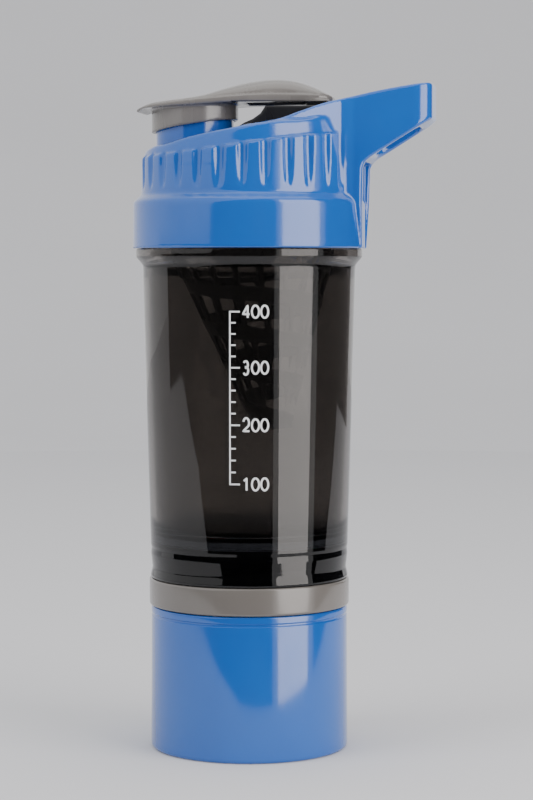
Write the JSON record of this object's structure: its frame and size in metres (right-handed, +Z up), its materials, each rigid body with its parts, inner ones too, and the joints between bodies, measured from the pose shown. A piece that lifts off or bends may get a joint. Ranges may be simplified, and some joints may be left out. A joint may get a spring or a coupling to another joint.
{
  "type": "protein shaker bottle",
  "caption": "Tapered shaker bottle with a screw-on dry storage cup, threaded coupling, leaning mixing grid, screw lid with carry loop and a flip cap that closes over the spout.",
  "frame": {"origin": "centre of the storage cup's flat base, on the bottle's axis", "axes": "+Z up along the bottle's axis, +X towards the carry loop, the spout is on the -X side"},
  "size_m": [0.1185, 0.091, 0.2623],
  "materials": {
    "blue_plastic": "glossy moulded polypropylene",
    "taupe_plastic": "satin moulded plastic",
    "smoke_plastic": "clear smoke-tinted copolyester, polished",
    "black_plastic": "satin moulded plastic",
    "silicone": "soft matt silicone",
    "steel": "drawn stainless pin"
  },
  "bodies": {
    "cup": {"storage_cup": "blue_plastic"},
    "cup_seal": {"storage_seal": "silicone"},
    "coupling": {"storage_coupling": "taupe_plastic"},
    "foot_seal": {"base_seal": "silicone"},
    "bottle": {"bottle_body": "smoke_plastic"},
    "lid_seal": {"lid_gasket": "silicone", "mixing_grid": "black_plastic"},
    "lid": {"lid": "blue_plastic", "hinge_pin": "steel"},
    "cap": {"flip_cap": "taupe_plastic", "spout_plug": "silicone"}
  },
  "joints": [
    {"name": "coupling_lift", "type": "slide", "parent": "cup", "child": "cup_seal", "axis": [0, 0, 1], "range_m": [0, 0.0126]},
    {"name": "coupling_turn", "type": "hinge", "parent": "cup_seal", "child": "coupling", "pos_m": [0, 0, 0.06], "axis": [0, 0, 1], "range_deg": [0, 450]},
    {"name": "bottle_lift", "type": "slide", "parent": "coupling", "child": "foot_seal", "axis": [0, 0, 1], "range_m": [0, 0.0126]},
    {"name": "bottle_turn", "type": "hinge", "parent": "foot_seal", "child": "bottle", "pos_m": [0, 0, 0.07], "axis": [0, 0, 1], "range_deg": [0, 450]},
    {"name": "lid_lift", "type": "slide", "parent": "bottle", "child": "lid_seal", "axis": [0, 0, 1], "range_m": [0, 0.0181]},
    {"name": "lid_turn", "type": "hinge", "parent": "lid_seal", "child": "lid", "pos_m": [0, 0, 0.21], "axis": [0, 0, 1], "range_deg": [0, 540]},
    {"name": "cap_hinge", "type": "hinge", "parent": "lid", "child": "cap", "pos_m": [0.0285, 0, 0.247], "axis": [0, 1, 0], "range_deg": [0, 100]}
  ],
  "couplings": [
    {"joint": "coupling_lift", "follows": "coupling_turn", "m_per_rad": 0.0015915},
    {"joint": "bottle_lift", "follows": "bottle_turn", "m_per_rad": 0.0015915},
    {"joint": "lid_lift", "follows": "lid_turn", "m_per_rad": 0.0019099}
  ]
}
